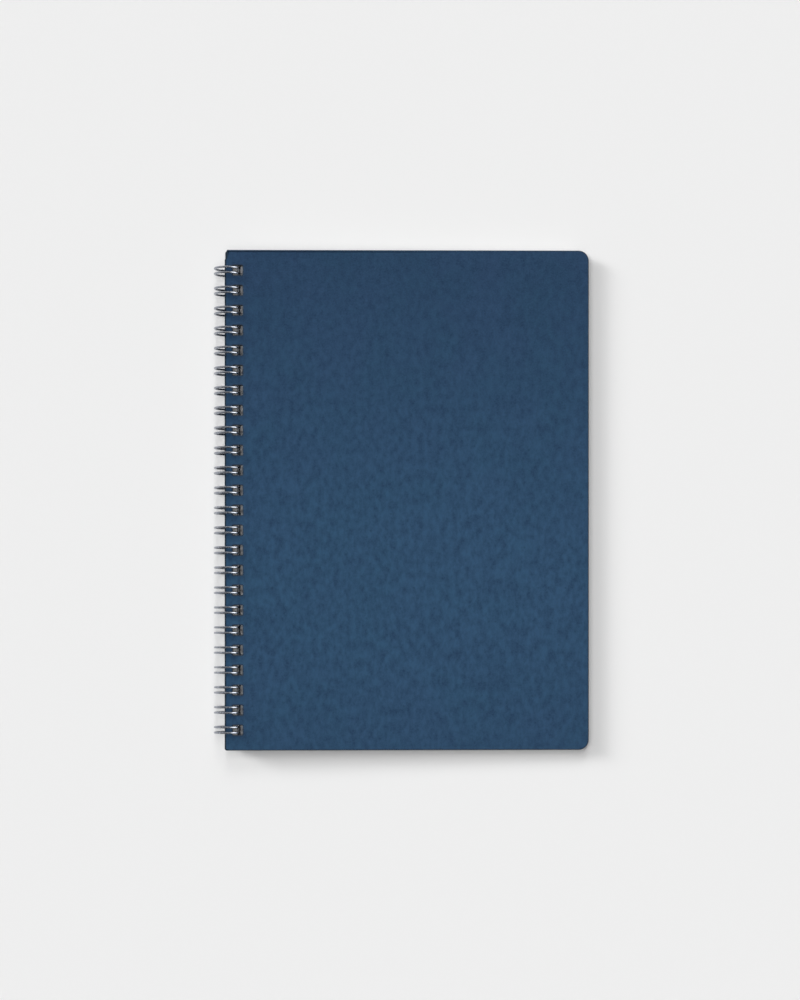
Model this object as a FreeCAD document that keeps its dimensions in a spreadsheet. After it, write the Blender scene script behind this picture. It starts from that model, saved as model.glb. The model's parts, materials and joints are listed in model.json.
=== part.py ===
import FreeCAD, Part

import math
import os

import Sketcher
from FreeCAD import Placement, Rotation, Vector

# Twin-loop notebook, lying face up with the binding on its left.
# X runs from the spine to the fore edge, Y from tail to head, Z up.
# The origin is on the table, under the middle of the whole object.
# Lengths are in millimetres, angles in degrees.

SIZES = {
    "cover_width": 154.4,
    "cover_height": 212.0,
    "cover_board": 0.8,
    "fore_corner_radius": 4.3,
    "spine_corner_radius": 1.0,
    "page_width": 148.0,
    "page_stack": 3.5,
    "page_spine_inset": 2.9,
    "page_end_inset": 1.0,
    "page_corner_radius": 3.5,
    "hole_pitch": 8.4667,
    "hole_side": 4.2,
    "hole_margin": 3.4,
    "row_end_room": 8.0,
    "wire_diameter": 0.9,
    "wire_spacing": 2.3,
    "loop_radius": 5.25,
    "loop_axis_inset": 0.95,
    "loop_slant": 3.6,
    "root_bend_radius": 0.8,
    "tip_gap": 2.6,
    "page_play": 0.07,
    "seam_room": 1.15,
    "seam_ramp": 5.0,
    "nick_depth": 0.85,
    "nick_length": 2.4,
    "nick_shoulder": 1.9,
    "hinge_drop": 0.6,
}
# The wire has flat facets instead of a round skin, because it has so many turns.
WIRE_SIDES = 6
LOOP_FACETS = 12
TIP_FACETS = 4
ROOT_FACETS = 2

doc = FreeCAD.newDocument("notebook")

sheet = doc.addObject("Spreadsheet::Sheet", "Sizes")
for row, (alias, value) in enumerate(SIZES.items(), start=1):
    sheet.set("A%d" % row, alias)
    sheet.set("B%d" % row, str(value))
    sheet.setAlias("B%d" % row, alias)
doc.recompute()


def size(alias):
    """A driving dimension, read from the sheet."""
    return float(sheet.get(alias))


# As many loops as the row has room for between head and tail
row_length = size("cover_height") - 2 * size("row_end_room")
LOOPS = int(row_length // size("hole_pitch")) + 1


# Sketches and features that the covers and the pages share

def origin_feature(body, role):
    """One of the body's own origin planes or axes."""
    return next(f for f in body.Origin.OriginFeatures if f.Role == role)


def new_outline(body, name, corners, plane="XY_Plane"):
    """A closed sketch of straight lines through corners that are pairs of expressions."""
    sketch = body.newObject("Sketcher::SketchObject", name)
    sketch.AttachmentSupport = [(origin_feature(body, plane), "")]
    sketch.MapMode = "FlatFace"
    places = [tuple(float(sheet.evalExpression(e)) for e in corner) for corner in corners]
    count = len(corners)
    for i in range(count):
        start = Vector(*places[i], 0)
        end = Vector(*places[(i + 1) % count], 0)
        sketch.addGeometry(Part.LineSegment(start, end), False)
    for i in range(count):
        sketch.addConstraint(Sketcher.Constraint("Coincident", i, 2, (i + 1) % count, 1))
    for i in range(count):
        tie_corner(sketch, i, "X", places[i][0], corners[i][0])
        tie_corner(sketch, i, "Y", places[i][1], corners[i][1])
    return sketch


def tie_corner(sketch, i, axis, distance, expression):
    """The distance of a corner from the sketch's origin, bound to the sheet."""
    if distance == 0:
        line = -2 if axis == "X" else -1
        sketch.addConstraint(Sketcher.Constraint("PointOnObject", i, 1, line))
        return
    constraint = Sketcher.Constraint("Distance" + axis, -1, 1, i, 1, distance)
    index = sketch.addConstraint(constraint)
    name = "corner%d%s" % (i, axis)
    sketch.renameConstraint(index, name)
    sketch.setExpression("Constraints." + name, expression)


def pad(body, sketch, name, length, side="One side"):
    """Material added to a sketch."""
    feature = body.newObject("PartDesign::Pad", name)
    feature.Profile = sketch
    feature.SideType = side
    feature.setExpression("Length", length)
    return feature


def pocket_through(body, sketch, name):
    """A cut right through, to both sides of its sketch."""
    feature = body.newObject("PartDesign::Pocket", name)
    feature.Profile = sketch
    feature.Type = "ThroughAll"
    feature.SideType = "Symmetric"
    return feature


def round_corners(body, base, name, radius, across, along):
    """A fillet on the upright edges whose X is across and whose Y is one of along."""
    doc.recompute()
    edges = []
    for i, edge in enumerate(base.Shape.Edges, start=1):
        ends = [v.Point for v in edge.Vertexes]
        if len(ends) != 2 or (ends[0] - ends[1]).cross(Vector(0, 0, 1)).Length > 1e-6:
            continue
        at_corner = abs(ends[0].x - across) < 1e-4
        if at_corner and any(abs(ends[0].y - y) < 1e-4 for y in along):
            edges.append("Edge%d" % i)
    feature = body.newObject("PartDesign::Fillet", name)
    feature.Base = (base, edges)
    feature.setExpression("Radius", "Sizes." + radius)
    return feature


FIRST_HOLE = "(-Sizes.hole_pitch * %d / 2)" % (LOOPS - 1)


def punch_holes(body, near):
    """The row of square holes that starts that far from the spine edge of the covers."""
    far = near + " + Sizes.hole_side"
    low = FIRST_HOLE + " - Sizes.hole_side / 2"
    high = FIRST_HOLE + " + Sizes.hole_side / 2"
    sketch = new_outline(body, "hole_outline", [(near, low), (far, low), (far, high), (near, high)])
    hole = pocket_through(body, sketch, "hole")
    row_of_holes = body.newObject("PartDesign::LinearPattern", "hole_row")
    row_of_holes.Originals = [hole]
    row_of_holes.Direction = (sketch, ["V_Axis"])
    row_of_holes.setExpression("Length", "Sizes.hole_pitch * %d" % (LOOPS - 1))
    row_of_holes.Occurrences = LOOPS
    body.Tip = row_of_holes
    return row_of_holes


def new_body(name):
    """A body whose label names its file."""
    body = doc.addObject("PartDesign::Body", name)
    body.Label = name
    return body


# Covers: flat boards with rounded fore corners, punched along the spine

HALF_HEIGHT = "Sizes.cover_height / 2"


def make_cover(name, nicked):
    """A cover lying on its own XY plane, spine edge at X = 0."""
    body = new_body(name)
    low = "-" + HALF_HEIGHT
    corners = [("0", low), ("Sizes.cover_width", low), ("Sizes.cover_width", HALF_HEIGHT), ("0", HALF_HEIGHT)]
    board = pad(body, new_outline(body, "outline", corners), "board", "Sizes.cover_board")
    half = size("cover_height") / 2
    fore = round_corners(body, board, "fore_corners", "fore_corner_radius", size("cover_width"), (-half, half))
    square_corners = (-half,) if nicked else (-half, half)
    round_corners(body, fore, "spine_corners", "spine_corner_radius", 0, square_corners)
    if nicked:
        nick_spine_corner(body)
    punch_holes(body, "Sizes.hole_margin")
    return body


def nick_spine_corner(body):
    """The worn head corner at the spine: a shallow step with a sloping shoulder."""
    outside = "-Sizes.nick_depth"
    beyond = HALF_HEIGHT + " + Sizes.nick_depth"
    step = HALF_HEIGHT + " - Sizes.nick_length"
    shoulder = step + " - Sizes.nick_shoulder"
    corners = [
        (outside, beyond),
        (outside, shoulder),
        ("0", shoulder),
        ("Sizes.nick_depth", step),
        ("Sizes.nick_depth", beyond),
    ]
    pocket_through(body, new_outline(body, "nick_outline", corners), "nick")


# Pages: one block, whose last sheets lift over the wire's closing seam near the spine.
# The block has slid to the fore edge until its holes meet the inside of the loops.

INNER_RADIUS = "(Sizes.loop_radius - Sizes.wire_diameter / 2)"
INNER_REACH = "sqrt(" + INNER_RADIUS + "^2 - (Sizes.page_stack / 2)^2)"
PAGE_HOLES = INNER_REACH + " + Sizes.loop_axis_inset - Sizes.page_play"


def make_pages():
    """The block of pages, lying on its own XY plane, with the covers' X and Y."""
    body = new_body("page_block")
    spine = "Sizes.page_spine_inset"
    fore = "Sizes.page_spine_inset + Sizes.page_width"
    ramp_start = PAGE_HOLES + " + Sizes.hole_side + Sizes.wire_diameter"
    ramp_end = ramp_start + " + Sizes.seam_ramp"
    corners = [
        (spine, "Sizes.seam_room"),
        (ramp_start, "Sizes.seam_room"),
        (ramp_end, "0"),
        (fore, "0"),
        (fore, "Sizes.page_stack"),
        (spine, "Sizes.page_stack"),
    ]
    profile = new_outline(body, "profile", corners, "XZ_Plane")
    block = pad(body, profile, "block", "Sizes.cover_height - 2 * Sizes.page_end_inset", "Symmetric")
    half = size("cover_height") / 2 - size("page_end_inset")
    fore_edge = size("page_spine_inset") + size("page_width")
    round_corners(body, block, "fore_corners", "page_corner_radius", fore_edge, (-half, half))
    punch_holes(body, PAGE_HOLES)
    return body


# Wire: one length bent into double loops, from cut end to cut end

def turn(centre, arm, axis, angle, count):
    """Corners of the straight pieces that go round an arc, each touching the arc at its middle.

    The arc has its centre there, starts at the end of the arm and turns about the axis.
    """
    step = angle / count
    reach = arm / math.cos(math.radians(step / 2))
    return [centre + Rotation(axis, step * (i + 0.5)).multVec(reach) for i in range(count)]


def loop_corners(offset):
    """Corners of one double loop and its two roots, at its place along the seam.

    The loops turn about Y. The seam is at their +X, and each loop is slanted about X.
    """
    slant = Rotation(Vector(1, 0, 0), -size("loop_slant"))
    along = slant.multVec(Vector(0, 1, 0))
    up = slant.multVec(Vector(0, 0, 1))
    radial = Vector(1, 0, 0)
    radius = size("loop_radius")
    half_gap = size("wire_spacing") / 2
    bend = size("root_bend_radius")
    lean = math.radians(size("loop_slant"))
    loop_angle = 360 - math.degrees(size("tip_gap") / radius)
    middle = Vector(0, offset, 0)

    # The roots reach the seam line at the same depth, so the slant makes one longer.
    longer = 2 * (half_gap + bend) * math.tan(lean)
    root_up = middle + radial * radius + along * -half_gap
    root_down = middle + radial * radius + along * half_gap
    up_centre = root_up - along * bend - up * longer
    down_centre = root_down + along * bend
    up_angle = 90 - size("loop_slant")
    down_angle = 90 + size("loop_slant")

    tip_turn = Rotation(along, -loop_angle)
    tip_arm = tip_turn.multVec(along * -half_gap)
    tip_axis = tip_turn.multVec(radial)
    tip_centre = middle + tip_turn.multVec(radial * radius)

    corners = turn(up_centre, Vector(0, 0, -bend), radial, up_angle, ROOT_FACETS)
    corners += turn(middle - along * half_gap, radial * radius, -along, loop_angle, LOOP_FACETS)
    corners += turn(tip_centre, tip_arm, -tip_axis, 180, TIP_FACETS)
    back = turn(middle + along * half_gap, radial * radius, -along, loop_angle, LOOP_FACETS)
    corners += back[::-1]
    corners += turn(down_centre, -along * bend, radial, down_angle, ROOT_FACETS)
    return corners


def seam_depth():
    """How far the seam line lies below the level where the loops start."""
    lean = math.radians(size("loop_slant"))
    reach = size("wire_spacing") / 2 + size("root_bend_radius")
    return size("root_bend_radius") + reach * math.sin(lean)


def mitred_wire(path, toward_flat):
    """A wire of flat facets along straight runs, mitred where they meet."""
    runs = [(path[i + 1] - path[i]).normalize() for i in range(len(path) - 1)]
    same_area = math.sqrt(2 * math.pi / (WIRE_SIDES * math.sin(2 * math.pi / WIRE_SIDES)))
    corner_reach = size("wire_diameter") / 2 * same_area
    rings = []
    arms = [Rotation(runs[0], 360 * (i + 0.5) / WIRE_SIDES).multVec(toward_flat * corner_reach)
            for i in range(WIRE_SIDES)]
    ring = [path[0] + arm for arm in arms]
    rings.append(ring)
    for i in range(1, len(path)):
        cut = runs[i - 1] + runs[i] if i < len(runs) else runs[i - 1]
        ring = [p + runs[i - 1] * ((path[i] - p).dot(cut) / runs[i - 1].dot(cut)) for p in ring]
        rings.append(ring)
    faces = [Part.Face(Part.makePolygon(rings[0][::-1] + rings[0][-1:]))]
    faces.append(Part.Face(Part.makePolygon(rings[-1] + rings[-1][:1])))
    for near, far in zip(rings, rings[1:]):
        for i in range(WIRE_SIDES):
            j = (i + 1) % WIRE_SIDES
            faces.append(Part.Face(Part.makePolygon([near[i], near[j], far[j], far[i], near[i]])))
    return Part.Solid(Part.makeShell(faces))


def make_wire():
    """The whole binding wire, loops about Y, seam line at the loops' +X."""
    pitch = size("hole_pitch")
    first = -pitch * (LOOPS - 1) / 2
    seam_start = Vector(size("loop_radius"), first - pitch / 2, -seam_depth())
    seam_end = Vector(size("loop_radius"), -first + pitch / 2, -seam_depth())
    path = [seam_start]
    for i in range(LOOPS):
        path += loop_corners(first + pitch * i)
    path.append(seam_end)
    wire = doc.addObject("Part::Feature", "twin_loop_wire")
    wire.Label = "twin_loop_wire"
    wire.Shape = mitred_wire(path, Vector(1, 0, 0))
    return wire


front_cover = make_cover("front_cover", True)
page_block = make_pages()
back_cover = make_cover("back_cover", False)
twin_loop_wire = make_wire()
doc.recompute()

# Places: the stack is centred on the loops, and all of it leans on the table together

board_gauge = size("cover_board")
half_stack = size("page_stack") / 2 + board_gauge
axis_inset = size("loop_axis_inset")

# The seam line runs in the middle of the room between the back cover and the last page.
seam_height = size("seam_room") / 2 + board_gauge - half_stack
seam_reach = math.hypot(size("loop_radius"), seam_depth())
seam_turn = math.degrees(math.asin(seam_height / seam_reach) + math.atan2(seam_depth(), size("loop_radius")))
wire_in_stack = Placement(Vector(), Rotation(Vector(0, 1, 0), -seam_turn))

# The loops and the fore edge of the back cover both touch the table.
edge_reach = size("cover_width") - axis_inset
loops_reach = -min(v.Z for v in twin_loop_wire.Shape.transformed(wire_in_stack.toMatrix()).Vertexes)
edge_distance = math.hypot(edge_reach, half_stack)
lean_angle = math.degrees(math.asin(loops_reach / edge_distance) - math.atan2(half_stack, edge_reach))
lean = Rotation(Vector(0, 1, 0), lean_angle)

fore_end = lean.multVec(Vector(edge_reach, 0, half_stack)).x
loops_end = min(v.X for v in twin_loop_wire.Shape.transformed(wire_in_stack.toMatrix()).Vertexes)
loop_axis = Vector(-(fore_end + loops_end) / 2, 0, loops_reach)


def place(part, level):
    """Put a board or the pages at a level of the stack, measured from the loops' axis."""
    spine = Vector(-axis_inset, 0, level)
    part.Placement = Placement(loop_axis + lean.multVec(spine), lean)


place(back_cover, -half_stack)
place(page_block, board_gauge - half_stack)
place(front_cover, half_stack - board_gauge)
twin_loop_wire.Placement = Placement(loop_axis, lean.multiply(wire_in_stack.Rotation))
doc.recompute()

# Each cover turns about a line near the loops' axis, a little past it, so that it clears the other one.
front_hinge = loop_axis + lean.multVec(Vector(0, 0, -size("hinge_drop")))
back_hinge = loop_axis + lean.multVec(Vector(0, 0, size("hinge_drop")))
print("front cover hinge", front_hinge, "back cover hinge", back_hinge, "lean", lean_angle)

# Checks, then one file for each part

parts = [front_cover, page_block, back_cover, twin_loop_wire]
for thing in doc.Objects:
    if "Invalid" in thing.State or "Error" in thing.State:
        raise RuntimeError("%s did not build: %s" % (thing.Name, thing.State))
for part in parts:
    if part.Shape.isNull() or not part.Shape.isValid():
        raise RuntimeError("%s has no valid shape" % part.Label)

os.makedirs("parts", exist_ok=True)
for part in parts:
    part.Shape.exportStep("parts/%s.step" % part.Label)
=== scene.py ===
import json
import math
import random

import bmesh
import bpy
from mathutils import Matrix, Quaternion, Vector


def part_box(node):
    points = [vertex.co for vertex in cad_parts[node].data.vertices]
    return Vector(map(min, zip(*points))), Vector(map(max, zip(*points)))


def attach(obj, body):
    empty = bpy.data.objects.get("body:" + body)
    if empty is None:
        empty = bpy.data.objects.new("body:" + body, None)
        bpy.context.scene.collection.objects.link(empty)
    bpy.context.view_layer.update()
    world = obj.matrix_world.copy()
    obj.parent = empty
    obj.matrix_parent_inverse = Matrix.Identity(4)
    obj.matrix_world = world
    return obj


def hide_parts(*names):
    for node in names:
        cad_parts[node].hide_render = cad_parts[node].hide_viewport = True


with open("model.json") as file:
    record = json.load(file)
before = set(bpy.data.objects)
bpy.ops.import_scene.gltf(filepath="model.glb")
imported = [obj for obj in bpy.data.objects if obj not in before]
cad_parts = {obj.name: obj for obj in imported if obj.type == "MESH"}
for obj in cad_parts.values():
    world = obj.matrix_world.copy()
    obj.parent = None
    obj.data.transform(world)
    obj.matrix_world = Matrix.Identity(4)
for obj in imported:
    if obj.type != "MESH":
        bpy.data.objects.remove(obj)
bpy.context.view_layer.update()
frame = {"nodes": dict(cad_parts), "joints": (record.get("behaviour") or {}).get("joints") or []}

# Twin-loop notebook, face up. Lengths are in metres, in the frame of the CAD model.
# The boards, the pages and the loops share one leaning frame, called the stack here:
# x from the loops' axis to the fore edge, y from tail to head, z up through the boards.

MM = 0.001

joints = {joint["name"]: joint for joint in frame["joints"]}
front_hinge = Vector(joints["front_cover_turn"]["pos_m"])
back_hinge = Vector(joints["back_cover_turn"]["pos_m"])
stack_up = (back_hinge - front_hinge).normalized()
stack_along = Vector((0, 1, 0))
stack_across = stack_along.cross(stack_up)
loop_axis = (front_hinge + back_hinge) / 2
TO_STACK = Matrix((stack_across, stack_along, stack_up)).to_4x4() @ Matrix.Translation(-loop_axis)
FROM_STACK = TO_STACK.inverted()


def stack_box(node):
    """Lowest and highest corner of a CAD node, measured along the stack."""
    points = [TO_STACK @ vertex.co for vertex in frame["nodes"][node].data.vertices]
    low = Vector(min(point[axis] for point in points) for axis in range(3))
    high = Vector(max(point[axis] for point in points) for axis in range(3))
    return low, high


# Sizes that the frame doesn't give by itself
LOOPS = 24
HOLE_PITCH = 8.4667 * MM
HOLE_SIDE = 4.2 * MM
HOLE_MARGIN = 3.4 * MM
HOLE_CORNER = 0.35 * MM
FORE_RADIUS = 4.3 * MM
SPINE_RADIUS = 1.0 * MM
PAGE_FORE_RADIUS = 3.5 * MM
PAGE_SPINE_RADIUS = 0.3 * MM
NICK_DEPTH = 0.85 * MM
NICK_LENGTH = 2.4 * MM
NICK_SHOULDER = 1.9 * MM
NICK_CORNER = 0.35 * MM
SEAM_ROOM = 1.15 * MM
SEAM_RAMP = 5.0 * MM
PAGE_PLAY = 0.07 * MM
SHEETS = 36

WIRE_DIAMETER = 0.9 * MM
WIRE_SPACING = 2.3 * MM
LOOP_RADIUS = 5.25 * MM
LOOP_SLANT = math.radians(3.6)
ROOT_BEND = 0.8 * MM
TIP_GAP = 2.6 * MM
WIRE_SIDES = 14
LOOP_STEPS = 56
TIP_STEPS = 14
ROOT_STEPS = 7

# The photograph, in its own 800 by 1000 pixels
PHOTO_HEIGHT_PX = 1000
PIXEL = 0.42414 * MM
CAMERA_DISTANCE = 0.970
PHOTO_CENTRE_X = -0.5 * MM
PHOTO_CENTRE_Y = 0.1 * MM


# Outlines, as closed rows of points that run anticlockwise

def arc(centre_x, centre_y, radius, start_degrees, steps):
    """A quarter turn, from its first point to its last one."""
    points = []
    for i in range(steps + 1):
        angle = math.radians(start_degrees + 90 * i / steps)
        points.append(Vector((centre_x + radius * math.cos(angle), centre_y + radius * math.sin(angle))))
    return points


def rounded_box(low, high, spine_radius, fore_radius, steps):
    """A rectangle whose corners at the spine and at the fore edge have their own radius."""
    points = arc(low.x + spine_radius, low.y + spine_radius, spine_radius, 180, steps)
    points += arc(high.x - fore_radius, low.y + fore_radius, fore_radius, 270, steps)
    points += arc(high.x - fore_radius, high.y - fore_radius, fore_radius, 0, steps)
    points += arc(low.x + spine_radius, high.y - spine_radius, spine_radius, 90, steps)
    return points


def nicked_box(low, high, steps):
    """The front cover's outline, with the worn step in its head corner at the spine."""
    points = arc(low.x + SPINE_RADIUS, low.y + SPINE_RADIUS, SPINE_RADIUS, 180, steps)
    points += arc(high.x - FORE_RADIUS, low.y + FORE_RADIUS, FORE_RADIUS, 270, steps)
    points += arc(high.x - FORE_RADIUS, high.y - FORE_RADIUS, FORE_RADIUS, 0, steps)
    step_x = low.x + NICK_DEPTH
    points += arc(step_x + NICK_CORNER, high.y - NICK_CORNER, NICK_CORNER, 90, 4)
    points.append(Vector((step_x, high.y - NICK_LENGTH)))
    points.append(Vector((low.x, high.y - NICK_LENGTH - NICK_SHOULDER)))
    return points


def hole_row(near):
    """The outlines of the square holes, which start that far along the stack."""
    holes = []
    for i in range(LOOPS):
        middle = HOLE_PITCH * (i - (LOOPS - 1) / 2)
        low = Vector((near, middle - HOLE_SIDE / 2))
        high = Vector((near + HOLE_SIDE, middle + HOLE_SIDE / 2))
        holes.append(rounded_box(low, high, HOLE_CORNER, HOLE_CORNER, 3))
    return holes


def moved_inwards(points, distance):
    """A closed outline moved inwards, each corner along its mitre."""
    moved = []
    for i, point in enumerate(points):
        before = (point - points[i - 1]).normalized()
        after = (points[(i + 1) % len(points)] - point).normalized()
        mitre = Vector((-before.y - after.y, before.x + after.x))
        moved.append(point + mitre * (2 * distance / mitre.length_squared))
    return moved


# Boards and pages: closed meshes whose walls run through the rings of a profile

def ring_wall(mesh, edge_layer, points, profile, inward):
    """The wall of an outline through a profile of (inset, level, shift); returns its end rings."""
    rings = []
    for inset, level, shift in profile:
        ring = []
        for point in moved_inwards(points, inset * inward):
            vertex = mesh.verts.new((point.x + shift[0], point.y + shift[1], level))
            vertex[edge_layer] = inset / MM
            ring.append(vertex)
        rings.append(ring)
    for lower, upper in zip(rings, rings[1:]):
        for i in range(len(lower)):
            j = (i + 1) % len(lower)
            face = mesh.faces.new((lower[i], lower[j], upper[j], upper[i]))
            face.smooth = True
    return rings[0], rings[-1]


def punched_slab(outline, holes, profile):
    """A closed slab with holes right through it, still flat and in the stack's frame."""
    mesh = bmesh.new()
    edge_layer = mesh.verts.layers.float.new("edge_distance")
    ends = [ring_wall(mesh, edge_layer, outline, profile, 1)]
    ends += [ring_wall(mesh, edge_layer, hole, profile, -1) for hole in holes]
    for side in range(2):
        borders = []
        for end in ends:
            ring = end[side]
            for i in range(len(ring)):
                borders.append(mesh.edges.get((ring[i - 1], ring[i])))
        bmesh.ops.triangle_fill(mesh, edges=borders, use_beauty=True)
    bmesh.ops.recalc_face_normals(mesh, faces=mesh.faces)
    return mesh


def finish_mesh(mesh, name, material, body, node):
    """Turns a mesh of the stack into a piece that stands for its CAD node."""
    mesh.transform(FROM_STACK)
    data = bpy.data.meshes.new(name)
    mesh.to_mesh(data)
    mesh.free()
    piece = bpy.data.objects.new(name, data)
    bpy.context.scene.collection.objects.link(piece)
    data.materials.append(material)
    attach(piece, body)
    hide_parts(node)
    return piece


BOARD_FADE = 0.9 * MM
BOARD_SHOULDER = 0.42 * MM


def board_profile(low, high):
    """A board's edge: pressed over a little at both faces, with a cut wall between them."""
    thickness = high - low
    still = (0.0, 0.0)
    lower = [
        (BOARD_FADE, low, still),
        (BOARD_SHOULDER, low, still),
        (0.20 * MM, low + 0.05 * thickness, still),
        (0.07 * MM, low + 0.14 * thickness, still),
        (0.0, low + 0.30 * thickness, still),
    ]
    upper = [(inset, high - (level - low), shift) for inset, level, shift in reversed(lower)]
    return lower + upper


def make_cover(name, node, body, material, nicked):
    """A cover board, punched along its spine."""
    low, high = stack_box(node)
    if nicked:
        outline = nicked_box(low, high, 12)
    else:
        outline = rounded_box(low, high, SPINE_RADIUS, FORE_RADIUS, 12)
    holes = hole_row(low.x + HOLE_MARGIN)
    mesh = punched_slab(outline, holes, board_profile(low.z, high.z))
    return finish_mesh(mesh, name, material, body, node)


def page_profile(low, high):
    """Sheet after sheet, each with its own small slip and a narrow groove to the next."""
    slips = random.Random(24)
    gauge = (high - low) / SHEETS
    groove = 0.06 * MM
    bevel = 0.14 * gauge
    profile = []
    for i in range(SHEETS):
        shift = (slips.uniform(-0.05, 0.05) * MM, slips.uniform(-0.05, 0.05) * MM)
        edge = 0.06 * MM + slips.uniform(0.0, 0.04) * MM
        bottom = low + gauge * i
        if i == 0:
            profile.append((groove + 2 * edge, bottom, shift))
        profile.append((edge, bottom + bevel, shift))
        profile.append((edge, bottom + gauge - bevel, shift))
        if i == SHEETS - 1:
            profile.append((groove + 2 * edge, bottom + gauge, shift))
        else:
            profile.append((groove + edge, bottom + gauge, shift))
    return profile


def smooth_step(value):
    """From 0 to 1 without a kink at either end."""
    clamped = min(max(value, 0.0), 1.0)
    return clamped * clamped * (3 - 2 * clamped)


def make_pages(material):
    """The block of pages, whose last sheets lift over the seam of the wire near the spine."""
    low, high = stack_box("page_block")
    outline = rounded_box(low, high, PAGE_SPINE_RADIUS, PAGE_FORE_RADIUS, 10)
    inner_radius = LOOP_RADIUS - WIRE_DIAMETER / 2
    half_stack = (high.z - low.z) / 2
    near = math.sqrt(inner_radius ** 2 - half_stack ** 2) - PAGE_PLAY
    mesh = punched_slab(outline, hole_row(near), page_profile(low.z, high.z))

    ramp_start = near + HOLE_SIDE + WIRE_DIAMETER
    ramp_cuts = 10
    for i in range(ramp_cuts + 1):
        cut = Vector((ramp_start + SEAM_RAMP * i / ramp_cuts, 0, 0))
        everything = mesh.verts[:] + mesh.edges[:] + mesh.faces[:]
        bmesh.ops.bisect_plane(mesh, geom=everything, plane_co=cut, plane_no=(1, 0, 0))
    height = high.z - low.z
    for vertex in mesh.verts:
        lift = SEAM_ROOM * (1 - smooth_step((vertex.co.x - ramp_start) / SEAM_RAMP))
        vertex.co.z += lift * (high.z - vertex.co.z) / height
    return finish_mesh(mesh, "pages", material, "binding", "page_block")


# Wire: one length of round wire, bent into double loops along a seam

def turn(centre, arm, axis, angle, steps, skip_first=False):
    """Points round an arc that starts at the end of the arm and turns about the axis."""
    first = 1 if skip_first else 0
    return [centre + Quaternion(axis, angle * i / steps) @ arm for i in range(first, steps + 1)]


def loop_path(offset):
    """The line of one double loop with its two roots, before it turns to the seam's place."""
    slant = Quaternion((1, 0, 0), -LOOP_SLANT)
    along = slant @ Vector((0, 1, 0))
    up = slant @ Vector((0, 0, 1))
    radial = Vector((1, 0, 0))
    half_gap = WIRE_SPACING / 2
    loop_angle = 2 * math.pi - TIP_GAP / LOOP_RADIUS
    middle = Vector((0, offset, 0))

    # The roots reach the seam line at the same depth, so the slant makes one longer.
    longer = 2 * (half_gap + ROOT_BEND) * math.tan(LOOP_SLANT)
    root_up = middle + radial * LOOP_RADIUS - along * half_gap
    root_down = middle + radial * LOOP_RADIUS + along * half_gap
    up_centre = root_up - along * ROOT_BEND - up * longer
    down_centre = root_down + along * ROOT_BEND
    up_angle = math.pi / 2 - LOOP_SLANT
    down_angle = math.pi / 2 + LOOP_SLANT

    tip_turn = Quaternion(along, -loop_angle)
    tip_centre = middle + tip_turn @ (radial * LOOP_RADIUS)
    tip_arm = tip_turn @ (along * -half_gap)
    tip_axis = tip_turn @ -radial

    points = turn(up_centre, Vector((0, 0, -ROOT_BEND)), radial, up_angle, ROOT_STEPS)
    rise = middle - along * half_gap
    points += turn(rise, radial * LOOP_RADIUS, -along, loop_angle, LOOP_STEPS)
    points += turn(tip_centre, tip_arm, tip_axis, math.pi, TIP_STEPS, True)[:-1]
    fall = middle + along * half_gap
    points += turn(fall, radial * LOOP_RADIUS, -along, loop_angle, LOOP_STEPS)[::-1]
    points += turn(down_centre, -along * ROOT_BEND, radial, down_angle, ROOT_STEPS, True)
    return points


def loop_slide(place):
    """How far a loop has slid in its holes toward the tail, most of all near the head."""
    row_half = HOLE_PITCH * (LOOPS - 1) / 2
    return -(0.13 + 0.11 * place / row_half) * MM


def wire_path():
    """The whole line of the wire from cut end to cut end, in the stack's frame."""
    seam_depth = ROOT_BEND + (WIRE_SPACING / 2 + ROOT_BEND) * math.sin(LOOP_SLANT)
    page_low = stack_box("page_block")[0]
    seam_height = page_low.z + SEAM_ROOM / 2
    seam_reach = math.hypot(LOOP_RADIUS, seam_depth)
    seam_turn = math.asin(seam_height / seam_reach) + math.atan2(seam_depth, LOOP_RADIUS)
    row_start = -HOLE_PITCH * LOOPS / 2
    points = [Vector((LOOP_RADIUS, row_start, -seam_depth))]
    for i in range(LOOPS):
        place = row_start + HOLE_PITCH * (i + 0.5)
        points += loop_path(place + loop_slide(place))
    points.append(Vector((LOOP_RADIUS, -row_start, -seam_depth)))
    to_seam = Quaternion((0, 1, 0), -seam_turn)
    placed = [to_seam @ point for point in points]
    return [placed[0]] + [b for a, b in zip(placed, placed[1:]) if (b - a).length > 0.02 * MM]


def round_tube(mesh, path, radius, sides):
    """A closed round tube along a path, turned as little as possible from ring to ring."""
    direction = (path[1] - path[0]).normalized()
    arm = direction.orthogonal().normalized() * radius
    rings = []
    for i, point in enumerate(path):
        before = path[max(i - 1, 0)]
        after = path[min(i + 1, len(path) - 1)]
        heading = (after - before).normalized()
        arm = direction.rotation_difference(heading) @ arm
        direction = heading
        ring = []
        for side in range(sides):
            around = Quaternion(direction, 2 * math.pi * side / sides)
            ring.append(mesh.verts.new(point + around @ arm))
        rings.append(ring)
    for lower, upper in zip(rings, rings[1:]):
        for i in range(sides):
            j = (i + 1) % sides
            face = mesh.faces.new((lower[i], lower[j], upper[j], upper[i]))
            face.smooth = True
    mesh.faces.new(rings[0][::-1])
    mesh.faces.new(rings[-1])


def make_wire(material):
    """The binding wire."""
    mesh = bmesh.new()
    round_tube(mesh, wire_path(), WIRE_DIAMETER / 2, WIRE_SIDES)
    bmesh.ops.recalc_face_normals(mesh, faces=mesh.faces)
    return finish_mesh(mesh, "binding_wire", material, "binding", "twin_loop_wire")


# Materials

def linear(red, green, blue):
    """A colour that is given in the 0 to 255 values of a screen."""
    channels = []
    for value in (red, green, blue):
        share = value / 255
        channels.append(share / 12.92 if share <= 0.04045 else ((share + 0.055) / 1.055) ** 2.4)
    return (*channels, 1.0)


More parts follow.
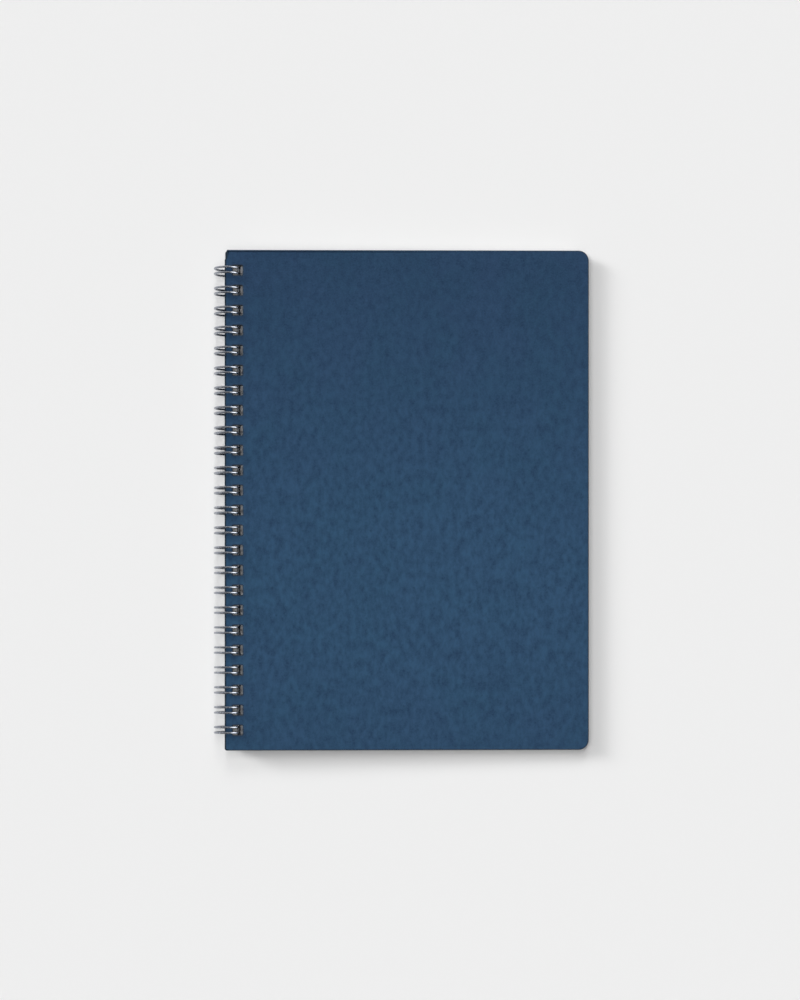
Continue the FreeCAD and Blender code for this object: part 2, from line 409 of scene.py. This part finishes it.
class Shader:
    """A material's node tree, with short ways to add and join its nodes."""

    def __init__(self, name):
        self.material = bpy.data.materials.new(name)
        self.material.use_nodes = True
        self.tree = self.material.node_tree
        self.surface = self.tree.nodes["Principled BSDF"]

    def add(self, kind, **settings):
        """A node with its settings; a key with spaces in it is given through inputs=."""
        node = self.tree.nodes.new(kind)
        for key, value in settings.pop("inputs", {}).items():
            node.inputs[key].default_value = value
        for key, value in settings.items():
            setattr(node, key, value)
        return node

    def join(self, source, target):
        self.tree.links.new(source, target)

    def place(self, scale=(1, 1, 1)):
        """Coordinates that stay on the object, stretched by a scale."""
        coordinates = self.add("ShaderNodeTexCoord")
        mapping = self.add("ShaderNodeMapping", inputs={"Scale": scale})
        self.join(coordinates.outputs["Object"], mapping.inputs["Vector"])
        return mapping.outputs["Vector"]

    def noise(self, place, scale, detail=3.0, roughness=0.5):
        inputs = {"Scale": scale, "Detail": detail, "Roughness": roughness}
        node = self.add("ShaderNodeTexNoise", inputs=inputs)
        self.join(place, node.inputs["Vector"])
        return node.outputs["Fac"]

    def ramp(self, value, low, high, start=0.0, end=1.0):
        """A value mapped from low..high to start..end, and held there outside of it."""
        inputs = {"From Min": low, "From Max": high, "To Min": start, "To Max": end}
        node = self.add("ShaderNodeMapRange", inputs=inputs)
        self.join(value, node.inputs["Value"])
        return node.outputs["Result"]

    def mix(self, share, first, second):
        """A colour between two; each may be a colour or the output of a node."""
        node = self.add("ShaderNodeMix", data_type="RGBA")
        if isinstance(share, (int, float)):
            node.inputs[0].default_value = share
        else:
            self.join(share, node.inputs[0])
        for socket, colour in ((node.inputs[6], first), (node.inputs[7], second)):
            if isinstance(colour, tuple):
                socket.default_value = colour
            else:
                self.join(colour, socket)
        return node.outputs[2]

    def math(self, operation, first, second):
        node = self.add("ShaderNodeMath", operation=operation)
        for socket, value in ((node.inputs[0], first), (node.inputs[1], second)):
            if isinstance(value, (int, float)):
                socket.default_value = value
            else:
                self.join(value, socket)
        return node.outputs[0]

    def bump(self, height, strength, distance):
        node = self.add("ShaderNodeBump", inputs={"Strength": strength, "Distance": distance})
        self.join(height, node.inputs["Height"])
        self.join(node.outputs["Normal"], self.surface.inputs["Normal"])


def board_material():
    """Dark blue board with a fibrous face, fine specks, a darker border and cut edge, a painted pool of
    light in its middle, and painted shade along the spine edge.
    """
    shader = Shader("cover_board")
    place = shader.place()

    # Slow drift between a teal and a navy tone
    drift = shader.ramp(shader.noise(place, 42, 3, 0.55), 0.38, 0.62)
    colour = shader.mix(drift, linear(35, 60, 84), linear(40, 60, 88))

    # Painted light: the face is painted a little lighter in its middle, where a pool of light would fall.
    middle = shader.add("ShaderNodeVectorMath", operation="DISTANCE")
    shader.join(shader.place((0.5, 1.0, 1.0)), middle.inputs[0])
    middle.inputs[1].default_value = (0.001, -0.038, 0.008)
    painted_light_pool = shader.ramp(middle.outputs["Value"], 0.03, 0.15, 1.0, 0.0)
    colour = shader.mix(shader.math("MULTIPLY", painted_light_pool, 0.5), colour, linear(58, 96, 126))

    # Soft smudges, drawn out a little along the board, and a fine grain
    smudge = shader.noise(shader.place((1.0, 0.6, 1.0)), 420, 3, 0.6)
    colour = shader.mix(shader.ramp(smudge, 0.32, 0.68, 0.0, 0.75), colour, linear(28, 47, 71))
    grain = shader.noise(place, 1500, 2, 0.6)
    colour = shader.mix(shader.ramp(grain, 0.3, 0.7, 0.0, 0.5), colour, linear(54, 81, 109))

    # Small soft specks
    cells = shader.add("ShaderNodeTexVoronoi", inputs={"Scale": 700, "Randomness": 1.0})
    shader.join(place, cells.inputs["Vector"])
    chosen = shader.ramp(cells.outputs["Color"], 0.84, 0.90)
    spot = shader.ramp(cells.outputs["Distance"], 0.12, 0.45, 0.5, 0.0)
    colour = shader.mix(shader.math("MULTIPLY", chosen, spot), colour, linear(34, 54, 76))

    # The pressed border and the cut edge are darker.
    edge = shader.add("ShaderNodeAttribute", attribute_name="edge_distance")
    frayed = shader.math("ADD", edge.outputs["Fac"], shader.ramp(grain, 0.3, 0.7, -0.10, 0.10))
    darker_border = shader.ramp(frayed, 0.34, 0.52, 1.0, 0.0)
    colour = shader.mix(darker_border, colour, linear(46, 60, 77))

    # Painted shade: the spine edge is painted darker still, as the shade under the loops.
    parts = shader.add("ShaderNodeSeparateXYZ")
    shader.join(place, parts.inputs[0])
    at_spine = shader.ramp(parts.outputs["X"], -0.0740, -0.0725, 1.0, 0.0)
    painted_spine_shade = shader.ramp(frayed, 0.45, 0.85, 1.0, 0.0)
    colour = shader.mix(shader.math("MULTIPLY", at_spine, painted_spine_shade), colour, linear(29, 41, 51))

    shader.join(colour, shader.surface.inputs["Base Color"])
    shader.join(shader.ramp(grain, 0.3, 0.7, 0.72, 0.86), shader.surface.inputs["Roughness"])
    shader.surface.inputs["Specular IOR Level"].default_value = 0.22
    shader.bump(grain, 0.3, 0.00008)
    return shader.material


def page_material():
    """Uncoated off-white paper; the sheets' edges differ a little from one to the next."""
    shader = Shader("pages")
    place = shader.place()
    fibre = shader.noise(place, 1800, 4, 0.6)
    mottle = shader.ramp(fibre, 0.35, 0.65, 0.0, 0.4)
    colour = shader.mix(mottle, linear(223, 222, 217), linear(208, 206, 201))

    # The sheets' cut edges differ from one to the next.
    layers = shader.noise(shader.place((40, 40, 4200)), 1.0, 1, 0.5)
    edge = shader.add("ShaderNodeAttribute", attribute_name="edge_distance")
    cut = shader.ramp(edge.outputs["Fac"], 0.12, 0.17, 1.0, 0.0)
    share = shader.math("MULTIPLY", shader.ramp(layers, 0.3, 0.7), cut)
    colour = shader.mix(share, colour, linear(194, 192, 186))

    # Painted shade: the band with the holes, which lies in shade under the cover and the wire, is painted
    # grey.
    parts = shader.add("ShaderNodeSeparateXYZ")
    shader.join(place, parts.inputs[0])
    from_spine = shader.ramp(parts.outputs["X"], -0.0716, -0.0712)
    to_fore = shader.ramp(parts.outputs["X"], -0.0648, -0.0640, 1.0, 0.0)
    colour = shader.mix(shader.math("MULTIPLY", from_spine, to_fore), colour, linear(140, 140, 138))
    shader.join(colour, shader.surface.inputs["Base Color"])
    shader.surface.inputs["Roughness"].default_value = 0.88
    shader.surface.inputs["Specular IOR Level"].default_value = 0.2
    shader.bump(fibre, 0.25, 0.00006)
    return shader.material


def wire_material():
    """Nickel-toned drawn wire, satin, with faint handling marks."""
    shader = Shader("binding_wire")
    place = shader.place()
    rub = shader.noise(place, 700, 4, 0.6)
    colour = shader.mix(shader.ramp(rub, 0.35, 0.65), linear(148, 153, 162), linear(168, 172, 180))
    shader.join(colour, shader.surface.inputs["Base Color"])
    shader.surface.inputs["Metallic"].default_value = 1.0
    shader.join(shader.ramp(rub, 0.3, 0.7, 0.20, 0.32), shader.surface.inputs["Roughness"])
    shader.bump(shader.noise(place, 2600, 2, 0.5), 0.08, 0.00004)
    return shader.material


cover_board = board_material()
make_cover("front_board", "front_cover", "front", cover_board, True)
make_cover("back_board", "back_cover", "back", cover_board, False)
make_pages(page_material())
make_wire(wire_material())


# Floor, light and camera

BACKGROUND = linear(239, 239, 239)


def make_floor():
    """A plain pale floor."""
    bpy.ops.mesh.primitive_plane_add(size=8)
    floor = bpy.context.object
    floor.name = "floor"
    shader = Shader("floor")
    shader.surface.inputs["Base Color"].default_value = BACKGROUND
    shader.surface.inputs["Roughness"].default_value = 1.0
    shader.surface.inputs["Specular IOR Level"].default_value = 0.0
    floor.data.materials.append(shader.material)


def add_sun(name, toward_light, level, angle):
    """A soft far lamp that gives a level face that share of full light."""
    light = bpy.data.lights.new(name, "SUN")
    direction = Vector(toward_light).normalized()
    light.energy = level * math.pi / direction.z
    light.angle = angle
    lamp = bpy.data.objects.new(name, light)
    lamp.rotation_mode = "QUATERNION"
    lamp.rotation_quaternion = direction.to_track_quat("Z", "Y")
    lamp.visible_glossy = False
    bpy.context.scene.collection.objects.link(lamp)


AMBIENT_LEVEL = 0.20

# Each light's name, its direction, its share of full light and its angle
SUNS = (
    ("key_low", (-2.30, 1.10, 1.0), 0.175, 0.30),
    ("key_middle", (-1.30, 0.62, 1.0), 0.115, 0.35),
    ("key_high", (-0.45, 0.10, 1.0), 0.10, 0.20),
    ("head_low", (-0.02, 1.30, 1.0), 0.11, 0.35),
    ("head_high", (-0.03, 0.50, 1.0), 0.10, 0.25),
    ("tail_fill", (0.0, -0.42, 1.0), 0.03, 0.30),
    ("overhead", (0.0, 0.0, 1.0), 0.26, 0.70),
)

make_floor()
for sun in SUNS:
    add_sun(*sun)


def make_world():
    """Pale all round for the camera, dim for diffuse light, and a studio for reflections."""
    world = bpy.data.worlds.new("studio")
    world.use_nodes = True
    bpy.context.scene.world = world
    tree = world.node_tree
    tree.nodes.clear()

    def add(kind, **settings):
        node = tree.nodes.new(kind)
        for key, value in settings.items():
            setattr(node, key, value)
        return node

    def math_node(operation, first, second):
        node = add("ShaderNodeMath", operation=operation)
        for socket, value in zip(node.inputs, (first, second)):
            if isinstance(value, (int, float)):
                socket.default_value = value
            else:
                tree.links.new(value, socket)
        return node.outputs[0]

    def toward(direction, low, high, start, end):
        """A value that rises with how nearly a ray points in a direction."""
        dot = add("ShaderNodeVectorMath", operation="DOT_PRODUCT")
        tree.links.new(place.outputs["Generated"], dot.inputs[0])
        dot.inputs[1].default_value = Vector(direction).normalized()
        ranged = add("ShaderNodeMapRange", interpolation_type="SMOOTHSTEP")
        tree.links.new(dot.outputs["Value"], ranged.inputs["Value"])
        for key, value in (("From Min", low), ("From Max", high), ("To Min", start), ("To Max", end)):
            ranged.inputs[key].default_value = value
        return ranged.outputs["Result"]

    place = add("ShaderNodeTexCoord")
    dark_ceiling = toward((0, 0, 1), 0.45, 0.92, 1.0, 0.38)
    dark_tail = toward((0, -1, 0.25), 0.10, 0.75, 1.0, 0.25)
    window = toward((1, 0.1, 0.25), 0.72, 0.93, 0.0, 3.6)
    studio = math_node("MULTIPLY", math_node("MULTIPLY", dark_ceiling, dark_tail), BACKGROUND[0])
    studio = math_node("ADD", studio, window)
    sky = toward((-0.8, 0.6, 0.5), -0.1, 0.7, 0.0, AMBIENT_LEVEL)

    paths = add("ShaderNodeLightPath")
    reflected = math_node("MAXIMUM", paths.outputs["Is Glossy Ray"], paths.outputs["Is Transmission Ray"])
    seen = math_node("MULTIPLY", paths.outputs["Is Camera Ray"], BACKGROUND[0])
    shown = math_node("MULTIPLY", reflected, studio)
    hidden = math_node("SUBTRACT", 1.0, math_node("MAXIMUM", paths.outputs["Is Camera Ray"], reflected))
    level = math_node("ADD", math_node("ADD", seen, shown), math_node("MULTIPLY", hidden, sky))

    background = add("ShaderNodeBackground")
    tree.links.new(level, background.inputs["Strength"])
    output = add("ShaderNodeOutputWorld")
    tree.links.new(background.outputs["Background"], output.inputs["Surface"])
    background.inputs["Color"].default_value = (1.0, 1.0, 1.0, 1.0)


make_world()

camera_data = bpy.data.cameras.new("camera")
camera_data.sensor_width = 36.0
camera_data.lens = camera_data.sensor_width * CAMERA_DISTANCE / (PHOTO_HEIGHT_PX * PIXEL)
camera = bpy.data.objects.new("camera", camera_data)
cover_low, cover_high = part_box("front_cover")
cover_level = (cover_low.z + cover_high.z) / 2
camera.location = (PHOTO_CENTRE_X, PHOTO_CENTRE_Y, cover_level + CAMERA_DISTANCE)
bpy.context.scene.collection.objects.link(camera)
bpy.context.scene.camera = camera

bpy.context.scene.view_settings.view_transform = "Standard"
